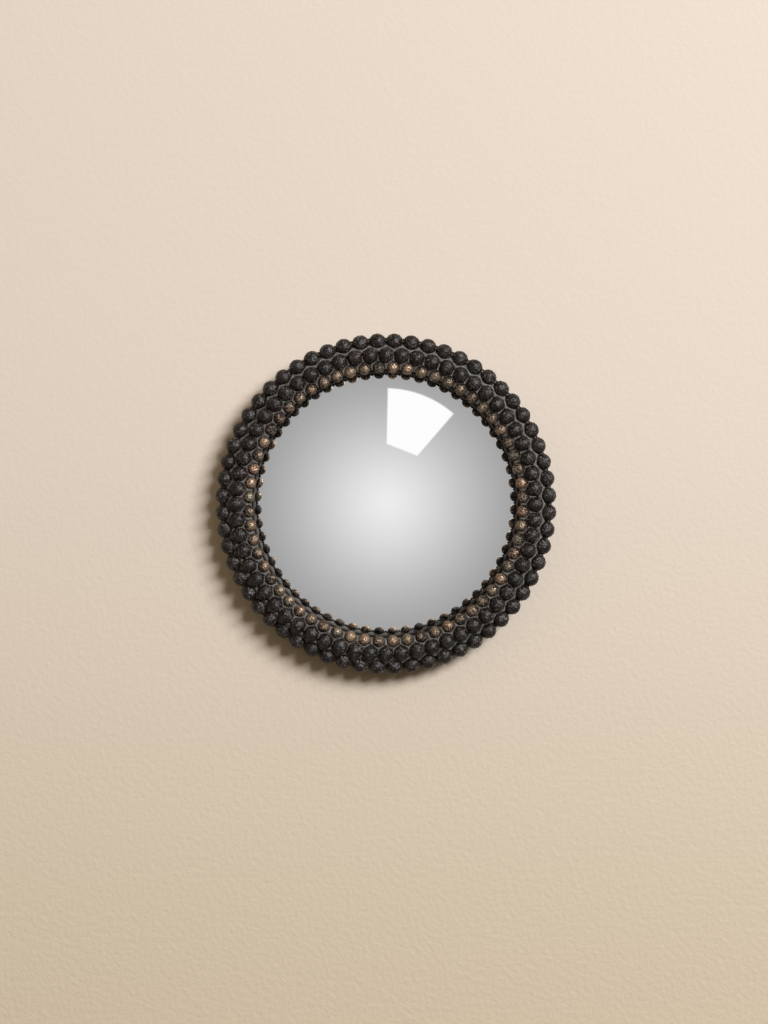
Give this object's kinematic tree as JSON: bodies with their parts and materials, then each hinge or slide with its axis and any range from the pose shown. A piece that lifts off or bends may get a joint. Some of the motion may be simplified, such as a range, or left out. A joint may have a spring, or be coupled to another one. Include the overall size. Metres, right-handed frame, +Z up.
{
  "type": "convex butlers mirror",
  "caption": "Small round wall mirror: bulged silvered glass in a dark turned frame covered with rings of beads, hung by a swinging wire ring on its back.",
  "frame": {"origin": "where the mirror's axis meets the wall that the bumpers rest on", "axes": "+Y into the wall, so the mirror faces -Y; +X to the right as it is looked at; +Z up"},
  "size_m": [0.2398, 0.0273, 0.2398],
  "materials": {
    "stained_moulding": "turned wood, stained near-black brown, grey wax left in the hollows",
    "dark_beads": "turned beads, crackled near-black lacquer, satin",
    "bronze_rubbed_beads": "turned beads, dark lacquer rubbed through to bronze",
    "silvered_glass": "clear polished glass, silvered and painted on its back",
    "felt_tape": "thin black felt tape",
    "foam_ring": "soft closed-cell foam, black",
    "backing_fibreboard": "thin hardboard, smooth brown face",
    "screw_steel": "zinc-plated steel",
    "bumper_rubber": "soft black rubber, matt",
    "hanger_steel": "nickel-plated sheet steel",
    "hanger_wire": "nickel-plated steel wire",
    "rivet_steel": "steel rivets"
  },
  "bodies": {
    "mirror": {"frame_ring": "stained_moulding", "outer_beads": "dark_beads", "middle_beads": "dark_beads", "inner_beads": "bronze_rubbed_beads", "convex_mirror_glass": "silvered_glass", "glass_bedding_tape": "felt_tape", "glass_pressure_ring": "foam_ring", "backing_board": "backing_fibreboard", "backing_screws": "screw_steel", "wall_bumpers": "bumper_rubber", "hanger_plate": "hanger_steel", "hanger_rivets": "rivet_steel"},
    "ring": {"hanger_ring": "hanger_wire"}
  },
  "joints": [
    {"name": "hanger_ring_swing", "type": "hinge", "parent": "mirror", "child": "ring", "pos_m": [0, -0.0023, 0.076], "axis": [-1, 0, 0], "range_deg": [0, 180]}
  ]
}
